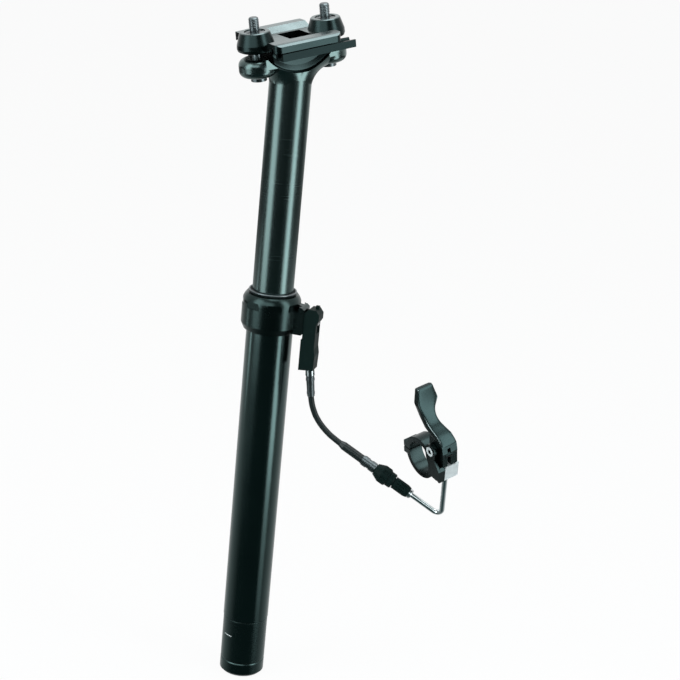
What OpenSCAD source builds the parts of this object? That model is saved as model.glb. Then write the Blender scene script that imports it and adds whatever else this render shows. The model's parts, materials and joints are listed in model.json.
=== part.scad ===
// Dropper seatpost with a collar actuator, a cable and a handlebar remote.
// Z runs up the post axis. X points to the rear of the bicycle, along the saddle rails.
// The origin is on the axis, at the deepest line to which the frame's seat tube may take the post.

/* [Outer tube] */
// Outside diameter that the seat tube clamps
tube_d = 30.9; // [30.4:0.1:31.2]
// Wall of the outer tube
tube_wall = 1.15; // [1.1:0.05:1.2]
// Length of the post below the insertion line
tube_below = 190; // [180:1:230]
// Height of the collar's underside above the insertion line
collar_z = 61; // [58:1:70]

/* [Post] */
// Room between the sliding post and the tube's bore, for the bushings
slide_gap = 0.7; // [0.6:0.05:0.8]
// Wall of the sliding post
post_wall = 2; // [1.8:0.1:2.2]
// How far the post drops
travel = 125; // [100:5:125]
// Bare post left above the wiper when the post is down
post_bare_low = 12; // [8:1:20]

/* [End cap] */
// Height of the end cap that shows below the tube
cap_h = 42; // [38:1:50]
// How far the end cap stands back from the tube's face
cap_inset = 0.25; // [0.1:0.05:0.5]
// Chamfer round the bottom of the end cap
cap_chamfer = 1.6; // [0.5:0.1:2]

/* [Collar] */
// Wall of the collar round the outer tube
collar_wall = 4.05; // [3.5:0.05:5]
// Height of the collar
collar_h = 25; // [24:0.5:26]
// Height of the chamfer under the collar
collar_chamfer = 4.4; // [3:0.2:5]
// Height of the straight band of the collar
collar_band = 14.3; // [13:0.1:15]
// Number of spanner flats round the collar's shoulder
collar_flats = 8; // [6:1:12]

/* [Saddle clamp] */
// Pitch of the saddle rails, rear end up
pitch = 11; // [4:1:14]
// Sideways distance between the saddle rails
rail_spacing = 44; // [42:0.5:46]
// Diameter of a saddle rail
rail_d = 7; // [6.9:0.1:7.2]
// Distance between the two saddle bolts
bolt_spacing = 50.6; // [50:0.1:54]
// Diameter of a saddle bolt
bolt_d = 6; // [5:0.5:6]
// How far the rail clamp leans each way
tilt = 5; // [2:0.5:5]
// Radius of the round seat that the rail cradle rocks on
seat_r = 30; // [29:0.5:32]
// Length of the upper clamp along the rails
clamp_len = 47; // [44:1:48]
// Length of the cradle's rail bars
cradle_len = 52; // [46:1:56]
// Length of the window in the upper clamp
window_len = 16; // [10:1:18]
// Width of the window in the upper clamp
window_w = 19; // [12:1:22]

/* [Actuator] */
// Bearing of the actuator, turned from the rear of the bicycle
actuator_bearing = -47; // [-60:1:-40]
// Thickness of the actuator housing
actuator_t = 11.5; // [11:0.5:13]
// Diameter of the cable housing
cable_d = 4; // [3.6:0.1:4.4]

/* [Remote] */
// Diameter of the handlebar
bar_d = 22.2; // [21.8:0.1:22.4]
// Wall of the handlebar clamp
bar_clamp_wall = 3.5; // [3:0.1:4]
// Width of the handlebar clamp
bar_clamp_w = 10; // [8:0.5:11]
// How far the lever turns
lever_swing = 20; // [10:1:22]
// Outside diameter of the bent guide pipe
pipe_d = 3.6; // [3.4:0.1:4.2]

/* [Hidden] */
$fn = 64;

// Fits: press parts meet, running parts turn or slide, free parts pass
run = 0.06;
slip = 0.3;
eps = 0.01;

// Tube and post stack
tube_r = tube_d / 2;
tube_ri = tube_r - tube_wall;
neck_r = tube_r - 0.35;
post_r = tube_ri - slide_gap;
post_ri = post_r - post_wall;
bottom_z = -tube_below;
cap_joint_z = bottom_z + cap_h;
cap_spigot_h = 10;
foot_h = 4;
low_gap = 1;
post_bottom_z = cap_joint_z + cap_spigot_h + low_gap + travel + foot_h;
tube_top_z = collar_z + collar_h - 2;
wiper_top_z = collar_z + collar_h + 2;
neck_z = wiper_top_z + post_bare_low + travel - 3;
neck_fillet = 14;

// Inner pieces
rod_r = 4;
rod_bore_r = 1.6;
valve_r = rod_bore_r - 0.1;
cylinder_r = post_ri - 1.6;
cylinder_ri = cylinder_r - 1.4;
piston_h = 10;
gland_h = 8;
gland_flange_h = 5;
cap_plug_h = 8;
web_h = 8;
web_z = cap_joint_z - 12;
rod_flange_h = 3;
rod_nut_h = 3.5;
piston_z = post_bottom_z + gland_flange_h + gland_h + 3;
cylinder_top_z = piston_z + piston_h + travel + 4 + cap_plug_h;

// Guide keys and release strip, set round the post
key_w = 3;
key_h = 14;
key_depth = 0.5;
key_bearings = [actuator_bearing + 60, actuator_bearing + 180, actuator_bearing + 300];
keyway_top_z = collar_z - 1;
strip_w = 2.4;
strip_t = 0.7;
strip_r = (post_r + tube_ri + key_depth) / 2;
strip_slot_w = strip_w + 2 * slip;

// Saddle clamp frame: origin at the tilt axis, x along the rails
tilt_x = -4;
tilt_z = neck_z + 41;
bolt_u = bolt_spacing / 2;
bolt_r = bolt_d / 2;
ear_rim_w = -1.5;
ear_base_w = -14;
ear_r = 12;
ear_rim_r = 9.5;
nut_r = 6.5;
lobe_top_w = -18;
lobe_base_w = -30;
lobe_r = 12;
lobe_round = 4.5;
plate_top_w = -8.8;
wing_corner = 4;
plate_t = 3.6;
rail_w = -12;
rail_y = rail_spacing / 2;
rail_r = rail_d / 2;
wing_top_w = rail_w + rail_r + 2.6;
wing_out = rail_r + 2.9;
rail_gap = 1.2;
window_u = 3;
belly_half_len = 19.3;
belly_half_w = post_r - 4.2;
cradle_top_w = -15;
cradle_u = 5;
clamp_u = -2.6;
bar_half_w = rail_r + 1.2;
bar_base_w = rail_w - rail_r - 1.8;
stud_top_w = 7.2;
head_sink = 3;
head_h = 4.8;
head_r = 5;

// Collar
collar_r = tube_r + collar_wall;
band_z = collar_z + collar_chamfer;
shoulder_z = band_z + collar_band;
collar_top_z = collar_z + collar_h;
lip_r = post_r + 2.3;
boss_half_t = 6.5;
boss_out_r = collar_r + 4.8;
boss_top_z = shoulder_z + 2;
oring_z = collar_z + 1.8;
oring_h = 1.6;
oring_r = neck_r + 0.9;

// Actuator, in the plane of its bearing: radius and height
crank_r = collar_r + 6.8;
crank_z = collar_z + 9;
crank_half_t = 1.9;
crank_hub_r = 3;
crank_pin_r = 1.5;
crank_nipple_r = 1.2;
crank_arm_in = crank_r - tube_r - 1.35;
crank_arm_out = 5.1;
crank_slot_half_t = crank_half_t + slip;
tab_z = crank_z - 1.2;
tab_h = 1.2;
tab_out_r = tube_r + 2;
housing_in_r = boss_out_r - 0.8;
housing_out_r = housing_in_r + 10.4;
housing_low_z = collar_z - 23;
housing_top_z = shoulder_z + 0.5;
cover_t = 1.5;
ferrule_tip = [housing_in_r + 6.5, housing_low_z];
ferrule_lean = 7.6;
ferrule_ring_h = 4;
ferrule_h = 14.5;

// Release gear at the bottom
rocker_z = cap_joint_z - 24;
rocker_h = 2.5;
chamber_r = tube_ri - 2.3;
rocker_pivot_r = chamber_r - 4;
rocker_tip_r = chamber_r + 1;
rocker_pin_r = 1.2;
rocker_half_t = 2.2;
chamber_low_z = bottom_z + 6;
strip_foot_z = rocker_z - 1.5;

// Remote frame: origin on the handlebar's axis, x outwards, y along the cable, z along the bar
bar_yaw = -40;
bar_rise = 15;
bar_roll = 16;
bar_r = bar_d / 2;
bar_out_r = bar_r + bar_clamp_wall;
split_turn = 98;
split_gap = 0.8;
lug_bolt_r = 1.75;
lug_head_r = 2.4;
lug_m = bar_r + lug_bolt_r + 0.9;
lug_half = 4.6;
pivot_q = [bar_out_r - 2.1, bar_out_r + 1.6];
pivot_r = 2.5;
pivot_head_r = 3.3;
boss_r = 5;
wire_q = bar_out_r + 5.4;
wire_a = 1;
stop_q = [bar_out_r + 2.6, bar_out_r + 8.4];
stop_a = [-1.8, 8.8];
stop_low_p = -4.8;
stop_top_p = 7.6;
boss_a = [-7.2, -4.4];
cheek_in_a = -5.3;
lever_a = [-4.1, 7.5];
pivot_sink = 1;
nipple_r = 2.4;

// The cable's line from the guide pipe's bend back to the cord
function turn_x(v, a) = [v.x, v.y * cos(a) - v.z * sin(a), v.y * sin(a) + v.z * cos(a)];
function turn_y(v, a) = [v.x * cos(a) + v.z * sin(a), v.y, v.z * cos(a) - v.x * sin(a)];
function turn_z(v, a) = [v.x * cos(a) - v.y * sin(a), v.x * sin(a) + v.y * cos(a), v.z];
function remote_turn(v) = turn_z(turn_x(turn_y(turn_x(v, 90), bar_roll), bar_rise), bar_yaw);
cable_drop = 27;
pipe_leg = 35.7;
pipe_bend_r = 4.5;
pipe_run = 26.5;
cable_dir = [cos(cable_drop), 0, -sin(cable_drop)];
pipe_up = remote_turn([0, 1, 0]);
pipe_corner = [129.11, 0, -47.09];
bar_pos = pipe_corner + pipe_leg * pipe_up - remote_turn([wire_q, stop_low_p, -wire_a]);
cable_end = pipe_corner - pipe_run * cable_dir;
coupler_len = 12;
barrel_len = 14.7;
crimp_len = 10.7;
sleeve_len = 18;
barrel_s = coupler_len + slip;
crimp_s = barrel_s + barrel_len + slip;
sleeve_s = crimp_s + crimp_len;
cord_s = sleeve_s + sleeve_len;
coupler_r = 4.2;
spigot_r = 3;
barrel_r = 6.2;
crimp_r = 3.6;
sleeve_r = 2.9;

// Cord route in the actuator plane: radius and height, from the ferrule to the sleeve
cord_points = [
  [33, 16.8], [33.7, 14], [34.6, 11.4], [35.7, 8.9], [36.9, 6.5], [38.4, 4.3], [40, 2.2], [41.8, 0.2],
  [43.8, -1.7], [45.9, -3.5], [48.1, -5.2], [50.5, -6.7], [53, -8.2]
];

module tube(r_in, r_out, z0, z1) {
  translate([0, 0, z0])
    difference() {
      cylinder(r = r_out, h = z1 - z0);
      translate([0, 0, -eps]) cylinder(r = r_in, h = z1 - z0 + 2 * eps);
    }
}

module rod(r, z0, z1) {
  translate([0, 0, z0]) cylinder(r = r, h = z1 - z0);
}

// A block from radius r0 to r1 at the given bearing
module radial_block(bearing, r0, r1, w, z0, z1) {
  rotate([0, 0, bearing]) translate([r0, -w / 2, z0]) cube([r1 - r0, w, z1 - z0]);
}

module at_actuator() {
  rotate([0, 0, actuator_bearing]) children();
}

// An outline in the actuator plane, as thick as the range of t
module actuator_slab(t0, t1) {
  at_actuator() translate([0, t1, 0]) rotate([90, 0, 0]) linear_extrude(t1 - t0) children();
}

module at_clamp() {
  translate([tilt_x, 0, tilt_z]) rotate([0, -pitch, 0]) children();
}

module at_bolts() {
  for (side = [-1, 1]) translate([side * bolt_u, 0, 0]) children();
}

module at_rails() {
  for (side = [-1, 1]) translate([0, side * rail_y, rail_w]) children();
}

module along_x(r, half_len) {
  rotate([0, 90, 0]) cylinder(r = r, h = 2 * half_len, center = true);
}

module block(x0, x1, half_y, z0, z1) {
  translate([x0, -half_y, z0]) cube([x1 - x0, 2 * half_y, z1 - z0]);
}

module at_ferrule() {
  at_actuator()
    translate([ferrule_tip.x, 0, ferrule_tip.y]) rotate([0, 180 - ferrule_lean, 0]) children();
}

// Local z points back along the cable, from the guide pipe's end towards the cord
module at_cable() {
  at_actuator() translate(cable_end) rotate([0, cable_drop - 90, 0]) children();
}

module at_remote() {
  at_actuator()
    translate(bar_pos)
      rotate([0, 0, bar_yaw]) rotate([bar_rise, 0, 0]) rotate([0, bar_roll, 0]) rotate([90, 0, 0]) children();
}

// An outline of the remote, spanning the range a along the handlebar
module remote_slab(a) {
  at_remote() translate([0, 0, -a[1]]) linear_extrude(a[1] - a[0]) children();
}

module outer_tube() {
  color("#1a2022")
    difference() {
      union() {
        tube(tube_ri, tube_r, cap_joint_z, collar_z);
        tube(tube_ri, neck_r, collar_z - eps, tube_top_z);
      }
      for (b = key_bearings)
        radial_block(b, post_r, tube_ri + key_depth, key_w + 2 * run, cap_joint_z - eps, keyway_top_z);
      radial_block(
        actuator_bearing, post_r, tube_ri + key_depth, strip_slot_w, cap_joint_z - eps, crank_z + 6
      );
      radial_block(actuator_bearing, post_r, tube_r + 1, strip_slot_w, tab_z - 1.5, crank_z + 6);
    }
}

module bottom_cap() {
  cap_r = tube_r - cap_inset;
  color("#1c2123")
    difference() {
      rotate_extrude()
        polygon([
          [0, bottom_z], [cap_r - cap_chamfer, bottom_z], [cap_r, bottom_z + cap_chamfer],
          [cap_r, bottom_z + 9], [cap_r - 0.35, bottom_z + 9.6], [cap_r - 0.35, bottom_z + 10.4],
          [cap_r, bottom_z + 11], [cap_r, cap_joint_z - 0.8], [cap_r - 0.5, cap_joint_z - 0.3],
          [cap_r - 0.5, cap_joint_z], [tube_ri - run, cap_joint_z], [tube_ri - run, cap_joint_z + cap_spigot_h],
          [0, cap_joint_z + cap_spigot_h]
        ]);
      rod(chamber_r, web_z + web_h, cap_joint_z + cap_spigot_h + eps);
      rod(chamber_r, chamber_low_z, web_z);
      rod(chamber_r - 1, bottom_z - eps, chamber_low_z + eps);
      rod(rod_r - 0.5, web_z - eps, web_z + web_h + eps);
      radial_block(
        actuator_bearing, chamber_r - 2, tube_ri + key_depth, strip_slot_w, strip_foot_z - 2.5,
        cap_joint_z + cap_spigot_h + eps
      );
    }
}

module bottom_plug() {
  color("#22282a")
    difference() {
      union() {
        rod(chamber_r - 1, bottom_z + 1, chamber_low_z);
        rod(chamber_r - 0.2, chamber_low_z, chamber_low_z + 1.5);
      }
      translate([0, 0, bottom_z]) cylinder(r = 5.5, h = 3.5, $fn = 6);
    }
}

module piston_rod() {
  color("silver")
    difference() {
      union() {
        rod(rod_r - 0.5, web_z - rod_nut_h - 1, web_z + web_h);
        rod(rod_r + 2.5, web_z + web_h, web_z + web_h + rod_flange_h);
        rod(rod_r, web_z + web_h + rod_flange_h, piston_z + piston_h + 2);
      }
      rod(rod_bore_r, web_z - rod_nut_h - 2, piston_z + piston_h);
    }
}

module rod_nut() {
  color("#8b9092")
    translate([0, 0, web_z - rod_nut_h])
      difference() {
        cylinder(r = 7, h = rod_nut_h, $fn = 6);
        translate([0, 0, -eps]) cylinder(r = rod_r - 0.5, h = rod_nut_h + 2 * eps);
      }
}

module piston() {
  color("#c9b26a")
    difference() {
      tube(rod_r, cylinder_ri - run, piston_z, piston_z + piston_h);
      tube(cylinder_ri - 1, cylinder_ri + 1, piston_z + piston_h / 2 - 1, piston_z + piston_h / 2 + 1);
    }
}

module valve_pin() {
  color("#b9bec0") rod(valve_r, rocker_z + rocker_h + 0.15, piston_z + piston_h - 3);
}

module rocker_pin() {
  color("#b9bec0")
    at_actuator()
      translate([-rocker_pivot_r, 0, rocker_z + rocker_h / 2])
        rotate([90, 0, 0])
          cylinder(
            r = rocker_pin_r, h = 2 * sqrt(chamber_r ^ 2 - (rocker_pivot_r + rocker_pin_r) ^ 2), center = true
          );
}

module valve_rocker() {
  color("#8b9092")
    at_actuator()
      difference() {
        union() {
          block(-rocker_pivot_r, rocker_tip_r - slip, strip_w / 2, rocker_z, rocker_z + rocker_h);
          block(-rocker_pivot_r, chamber_r - 3, rocker_half_t, rocker_z, rocker_z + rocker_h);
          translate([-rocker_pivot_r, 0, rocker_z + rocker_h / 2])
            rotate([90, 0, 0]) cylinder(r = rocker_pin_r + 1.3, h = 2 * rocker_half_t, center = true);
        }
        translate([-rocker_pivot_r, 0, rocker_z + rocker_h / 2])
          rotate([90, 0, 0]) cylinder(r = rocker_pin_r + run, h = 3 * rocker_half_t, center = true);
      }
}

module release_strip() {
  color("#b9bec0") {
    radial_block(
      actuator_bearing, strip_r - strip_t / 2, strip_r + strip_t / 2, strip_w, strip_foot_z, tab_z + tab_h
    );
    radial_block(actuator_bearing, strip_r, tab_out_r, strip_w, tab_z, tab_z + tab_h);
    radial_block(actuator_bearing, chamber_r - 1.5, strip_r, strip_w, strip_foot_z, strip_foot_z + 1.3);
  }
}

module collar() {
  color("#1b2224")
    difference() {
      union() {
        rotate_extrude()
          difference() {
            union() {
              polygon([
                [neck_r - 1, collar_z], [collar_r - 2.6, collar_z], [collar_r - 1.8, collar_z + 0.6],
                [collar_r, band_z], [collar_r, shoulder_z], [neck_r - 1, shoulder_z]
              ]);
              intersection() {
                translate([collar_r - 9, shoulder_z]) circle(r = 9);
                translate([neck_r - 1, shoulder_z - 1]) square([collar_r, collar_top_z - shoulder_z + 1]);
              }
            }
            translate([0, oring_z - 0.2]) square([oring_r + 0.1, oring_h + 0.4]);
          }
        intersection() {
          at_actuator() block(tube_r + 1, boss_out_r, boss_half_t, collar_z, boss_top_z);
          actuator_slab(-boss_half_t, boss_half_t)
            polygon([
              [tube_r, collar_z + 0.9], [boss_out_r - 1, collar_z + 0.9], [boss_out_r, collar_z + 1.9],
              [boss_out_r, shoulder_z - 0.6], [boss_out_r - 1.6, shoulder_z + 0.8], [collar_r - 2, boss_top_z],
              [tube_r, boss_top_z]
            ]);
        }
      }
      for (i = [0 : collar_flats - 1])
        radial_block(
          actuator_bearing + (i + 0.5) * 360 / collar_flats, collar_r - 0.7, collar_r + 2, 11, shoulder_z - 2.2,
          shoulder_z + 2.4
        );
      rod(neck_r, collar_z - 1, collar_top_z + 1);
      radial_block(
        actuator_bearing, tube_r - 1, boss_out_r + 1, 2 * crank_slot_half_t, crank_z - 6.5, crank_z + 6.5
      );
    }
}

module wiper_seal() {
  color("#0d1011")
    rotate_extrude()
      polygon([
        [post_r + run, tube_top_z + 1.2], [post_r + 0.9, tube_top_z], [neck_r, tube_top_z],
        [neck_r, collar_top_z], [lip_r, collar_top_z + 0.9], [lip_r - 0.5, collar_top_z + 1.1],
        [lip_r - 0.9, collar_top_z + 0.5], [post_r + 0.8, collar_top_z + 1], [post_r + run, wiper_top_z]
      ]);
}

module upper_bushing() {
  color("#b48a3c")
    difference() {
      tube(post_r + 0.04, tube_ri - 0.02, collar_z + 4, tube_top_z - 1);
      radial_block(actuator_bearing, post_r - 1, tube_r, strip_slot_w + 2, collar_z, collar_top_z);
    }
}

module collar_oring() {
  color("#101314") tube(neck_r, oring_r, oring_z, oring_z + oring_h);
}

// Outline of the actuator housing, drawn in by the given margin
module housing_outline(margin) {
  polygon([
    [housing_in_r + margin, housing_low_z + margin], [housing_out_r - 0.4 - margin, housing_low_z + 1 + margin],
    [housing_out_r - margin, housing_low_z + 11], [housing_out_r - 0.9 - margin, housing_low_z + 16],
    [housing_out_r - 0.9 - margin, housing_top_z - 10], [housing_out_r + 0.7 - margin, housing_top_z - 7],
    [housing_out_r + 0.7 - margin, housing_top_z - 3 - margin],
    [housing_out_r - 1.6 - margin, housing_top_z - margin],
    [housing_in_r + 4, housing_top_z - margin], [housing_in_r + margin, housing_top_z - 4 - margin]
  ]);
}

module cavity_outline() {
  translate([crank_r, crank_z]) circle(r = crank_hub_r + 0.8);
  translate([boss_out_r - 2, crank_z - 5.4]) square([crank_r - boss_out_r + 2, 10.4]);
  translate([crank_r, crank_z - 6.4]) square([crank_arm_out + crank_nipple_r + 0.9, 9.4]);
}

module actuator_housing() {
  color("#15191a")
    difference() {
      union() {
        actuator_slab(-actuator_t / 2, actuator_t / 2 - cover_t) housing_outline(0);
        actuator_slab(-1, 1)
          translate([housing_out_r - 3.4, housing_top_z - 1]) square([2.4, 3]);
      }
      actuator_slab(-crank_half_t - slip, actuator_t / 2) cavity_outline();
      at_ferrule() translate([0, 0, -45]) cylinder(r = 1.2, h = 46);
      at_actuator()
        translate([crank_r, actuator_t / 2, crank_z])
          rotate([90, 0, 0]) cylinder(r = crank_pin_r, h = actuator_t - 2);
      at_cover_screws() cylinder(r = 0.9, h = 8);
      at_actuator() rotate([0, 0, -actuator_bearing]) collar_clear();
    }
}

// The collar's boss with a small gap, where the housing wraps round it
module collar_clear() {
  at_actuator() block(0, boss_out_r, boss_half_t + 1, collar_z - 2, boss_top_z + 3);
}

module at_cover_screws() {
  at_actuator()
    for (z = [housing_low_z + 6, housing_top_z - 20])
      translate([housing_in_r + 2.4, actuator_t / 2, z]) rotate([90, 0, 0]) children();
}

module actuator_cover() {
  color("#181c1d")
    difference() {
      actuator_slab(actuator_t / 2 - cover_t, actuator_t / 2) housing_outline(0.4);
      at_cover_screws() translate([0, 0, -1]) cylinder(r = 0.9, h = 8);
      collar_clear();
    }
}

module cover_screws() {
  color("#8b9092")
    at_cover_screws()
      difference() {
        union() {
          cylinder(r = 0.9, h = 6);
          translate([0, 0, -0.8]) cylinder(r = 1.7, h = 0.8);
        }
        translate([0, 0, -1]) cylinder(r = 0.8, h = 0.7, $fn = 6);
      }
}

module crank_pin() {
  color("#b9bec0")
    at_actuator()
      translate([crank_r, actuator_t / 2 - cover_t - slip, crank_z])
        rotate([90, 0, 0]) cylinder(r = crank_pin_r, h = actuator_t - 2 - cover_t - slip);
}

module bell_crank() {
  color("#9aa0a2")
    difference() {
      actuator_slab(-crank_half_t, crank_half_t)
        difference() {
          union() {
            translate([crank_r, crank_z]) circle(r = crank_hub_r);
            translate([crank_r, tab_z - 0.2])
              polygon([[-crank_arm_in, 0], [-crank_arm_in, -1], [2.5 - crank_arm_in, -3], [0, -3], [0, 0]]);
            translate([crank_r, crank_z - 1.5]) square([crank_arm_out, 3]);
            translate([crank_r + crank_arm_out, crank_z]) circle(r = crank_nipple_r + 0.7);
          }
          translate([crank_r + crank_arm_out, crank_z]) circle(r = crank_nipple_r);
          translate([crank_r, crank_z]) circle(r = crank_pin_r + run);
        }
    }
}

module crank_nipple() {
  color("#d2d6d8")
    actuator_slab(-crank_half_t, crank_half_t)
      translate([crank_r + crank_arm_out, crank_z]) circle(r = crank_nipple_r);
}

module ferrule_ring() {
  color("#c4cacc")
    at_ferrule()
      difference() {
        cylinder(r1 = 3, r2 = 3.2, h = ferrule_ring_h);
        translate([0, 0, -eps]) cylinder(r = 1.2, h = ferrule_ring_h + 2 * eps);
      }
}

module cable_ferrule() {
  color("#7d8587")
    at_ferrule()
      translate([0, 0, ferrule_ring_h])
        difference() {
          union() {
            cylinder(r1 = 2.8, r2 = 2.5, h = ferrule_h);
            translate([0, 0, 2]) cylinder(r = 3, h = 1.6);
            translate([0, 0, ferrule_h - 3]) cylinder(r = 2.75, h = 1.4);
          }
          translate([0, 0, -eps]) cylinder(r = 1.2, h = ferrule_h + 2 * eps);
        }
}

// The cord's centreline: out of the ferrule, along the route and into the sleeve
ferrule_end = ferrule_tip + (ferrule_ring_h + ferrule_h) * [sin(ferrule_lean), -cos(ferrule_lean)];
sleeve_end = cable_end - cord_s * cable_dir;
cord_line = concat([ferrule_end], cord_points, [[sleeve_end.x, sleeve_end.z]]);
cord_last = len(cord_line) - 1;
cord_sides = 10;
function cord_way(i) =
  i == 0 ? [sin(ferrule_lean), -cos(ferrule_lean)]
  : i == cord_last ? [cable_dir.x, cable_dir.z]
  : (cord_line[i + 1] - cord_line[i - 1]) / norm(cord_line[i + 1] - cord_line[i - 1]);
function cord_ring(i) = [
  for (k = [0 : cord_sides - 1])
    let (turn = 360 * k / cord_sides, across = cable_d / 2 * cos(turn), way = cord_way(i))
      [cord_line[i].x - across * way.y, cable_d / 2 * sin(turn), cord_line[i].y + across * way.x]
];

module cable_housing() {
  points = [for (i = [0 : cord_last]) each cord_ring(i)];
  walls = [
    for (i = [0 : cord_last - 1])
      for (k = [0 : cord_sides - 1])
        let (a = i * cord_sides + k, b = i * cord_sides + (k + 1) % cord_sides)
          each [[a, b, b + cord_sides], [a, b + cord_sides, a + cord_sides]]
  ];
  first = [for (k = [1 : cord_sides - 2]) [0, k + 1, k]];
  base = cord_last * cord_sides;
  final = [for (k = [1 : cord_sides - 2]) [base, base + k, base + k + 1]];
  color("#2a3032") at_actuator() polyhedron(points, concat(walls, first, final));
}

module housing_sleeve() {
  color("#14181a")
    at_cable()
      translate([0, 0, sleeve_s]) {
        cylinder(r = sleeve_r, h = sleeve_len - 3);
        translate([0, 0, sleeve_len - 3]) cylinder(r1 = sleeve_r, r2 = cable_d / 2 + 0.1, h = 3);
      }
}

module sleeve_ferrule() {
  color("#4a5254")
    at_cable()
      translate([0, 0, crimp_s]) {
        cylinder(r = crimp_r - 0.4, h = crimp_len);
        cylinder(r = crimp_r, h = 4);
        translate([0, 0, 6]) cylinder(r = crimp_r, h = crimp_len - 7);
      }
}

module coupler_body() {
  color("#121617")
    at_cable()
      difference() {
        union() {
          cylinder(r1 = coupler_r - 0.6, r2 = coupler_r, h = 2.5);
          translate([0, 0, 2.5]) cylinder(r = coupler_r, h = coupler_len - 2.5);
          translate([0, 0, coupler_len]) cylinder(r = spigot_r, h = crimp_s - coupler_len);
        }
        for (i = [0 : 11])
          rotate([0, 0, 30 * i])
            translate([coupler_r, 0, 4]) cylinder(r = 0.5, h = coupler_len - 6.5, $fn = 16);
        translate([0, 0, -eps]) cylinder(r = pipe_d / 2, h = coupler_len - 4);
      }
}

module adjuster_barrel() {
  color("#15191b")
    at_cable()
      translate([0, 0, barrel_s])
        difference() {
          rotate_extrude()
            polygon([
              [spigot_r + run, 0], [barrel_r - 1.6, 0], [barrel_r - 1, 0.8], [barrel_r - 1, 4], [barrel_r, 5],
              [barrel_r, barrel_len - 5], [crimp_r + 0.4, barrel_len], [spigot_r + run, barrel_len]
            ]);
          for (i = [0 : 7])
            rotate([0, 0, 45 * i]) translate([barrel_r + 0.7, 0, 5.6]) cylinder(r = 1.3, h = 3.6, $fn = 24);
        }
}

// The steel pipe: a straight run from the coupler, one bend, and a straight leg up into the stop
module guide_pipe() {
  bend = acos(cable_dir * pipe_up);
  reach = pipe_bend_r * tan(bend / 2);
  lap = 0.05;
  side = cross(cable_dir, pipe_up) / sin(bend);
  across = cross(side, cable_dir);
  color("#c9ced0")
    at_actuator()
      multmatrix([
        [cable_dir.x, across.x, side.x, pipe_corner.x],
        [cable_dir.y, across.y, side.y, pipe_corner.y],
        [cable_dir.z, across.z, side.z, pipe_corner.z]
      ]) {
        translate([-pipe_run - coupler_len + 4.5, 0, 0])
          rotate([0, 90, 0]) cylinder(r = pipe_d / 2, h = pipe_run + coupler_len - 4.5 - reach + lap);
        translate([-reach, pipe_bend_r, 0])
          rotate([0, 0, -90])
            rotate_extrude(angle = bend) translate([pipe_bend_r, 0]) circle(r = pipe_d / 2 - eps);
        rotate([0, 0, bend])
          translate([reach - lap, 0, 0])
            rotate([0, 90, 0]) cylinder(r = pipe_d / 2, h = pipe_leg + 6 - reach + lap);
      }
}

module cable_stop() {
  color("#e3e7e8")
    difference() {
      remote_slab(stop_a)
        polygon([
          [stop_q[0], stop_low_p], [stop_q[1] - 0.8, stop_low_p], [stop_q[1], stop_low_p + 0.8],
          [stop_q[1], stop_top_p], [stop_q[0], stop_top_p]
        ]);
      at_wire() translate([0, 0, stop_low_p - 1]) cylinder(r = pipe_d / 2, h = 7);
      at_wire() translate([0, 0, stop_low_p]) cylinder(r = 1, h = 40);
    }
}

// Local z runs up the wire
module at_wire() {
  at_remote() translate([wire_q, 0, -wire_a]) rotate([-90, 0, 0]) children();
}

// One half of the clamp before the handlebar's bore is cut
module clamp_ring_outline(keep) {
  rotate(split_turn - 90)
    intersection() {
      union() {
        circle(r = bar_out_r);
        translate([-lug_m - 3.6, -lug_half]) square([2 * lug_m + 6.2, 2 * lug_half]);
      }
      translate([-40, keep > 0 ? split_gap / 2 : -40 - split_gap / 2]) square([80, 40]);
    }
}

module bar_bore() {
  at_remote() cylinder(r = bar_r, h = 60, center = true);
}

module at_clamp_bolts() {
  at_remote()
    rotate([0, 0, split_turn - 90])
      for (side = [-1, 1]) translate([side * lug_m, -lug_half, 0]) rotate([-90, 0, 0]) children();
}

// A flat piece of the remote's body, kept clear of the handlebar
module body_slab(a, outline) {
  remote_slab(a)
    difference() {
      polygon(outline);
      circle(r = bar_r + 1.2);
    }
}

module remote_body() {
  half_w = bar_clamp_w / 2;
  top_p = stop_top_p - 0.2;
  cheek_low_p = stop_low_p - 0.6;
  color("#141819")
    difference() {
      union() {
        remote_slab([-half_w, half_w]) clamp_ring_outline(1);
        remote_slab(boss_a) {
          translate(pivot_q) circle(r = boss_r);
          polygon([
            pivot_q + [-5.5, -3.6], pivot_q + [4.9, -7.6], pivot_q + [4.9, -1], pivot_q + [-4, 3]
          ]);
        }
        body_slab([boss_a[0], cheek_in_a], [
          [bar_out_r - 2, cheek_low_p + 2.2], [stop_q[1] - 2, cheek_low_p + 2.6],
          [stop_q[1], cheek_low_p + 4.6], [stop_q[1], top_p - 2], pivot_q + [4.1, -4.2], pivot_q + [-5.1, -2.8]
        ]);
        remote_slab([cheek_in_a - 0.4, stop_a[0]])
          polygon([
            [stop_q[0], cheek_low_p + 1.6], [stop_q[1] - 0.8, cheek_low_p + 0.4],
            [stop_q[1], cheek_low_p + 1.2], [stop_q[1], top_p - 2], [stop_q[1] - 1.5, top_p], [stop_q[0], top_p]
          ]);
        body_slab([boss_a[0] + 0.5, half_w - 0.5], [
          [bar_r - 0.1, 4.6], [stop_q[0], 3.6], [stop_q[0], top_p - 0.3], [bar_r + 0.3, 10.4]
        ]);
      }
      bar_bore();
      at_remote() translate([pivot_q.x, pivot_q.y, 0]) cylinder(r = pivot_r, h = 60, center = true);
      at_remote()
        translate([pivot_q.x, pivot_q.y, -boss_a[0] - pivot_sink]) cylinder(r = pivot_head_r + 0.2, h = 9);
      at_clamp_bolts() cylinder(r = lug_bolt_r + 0.1, h = 2 * lug_half + 0.4);
    }
}

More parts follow.
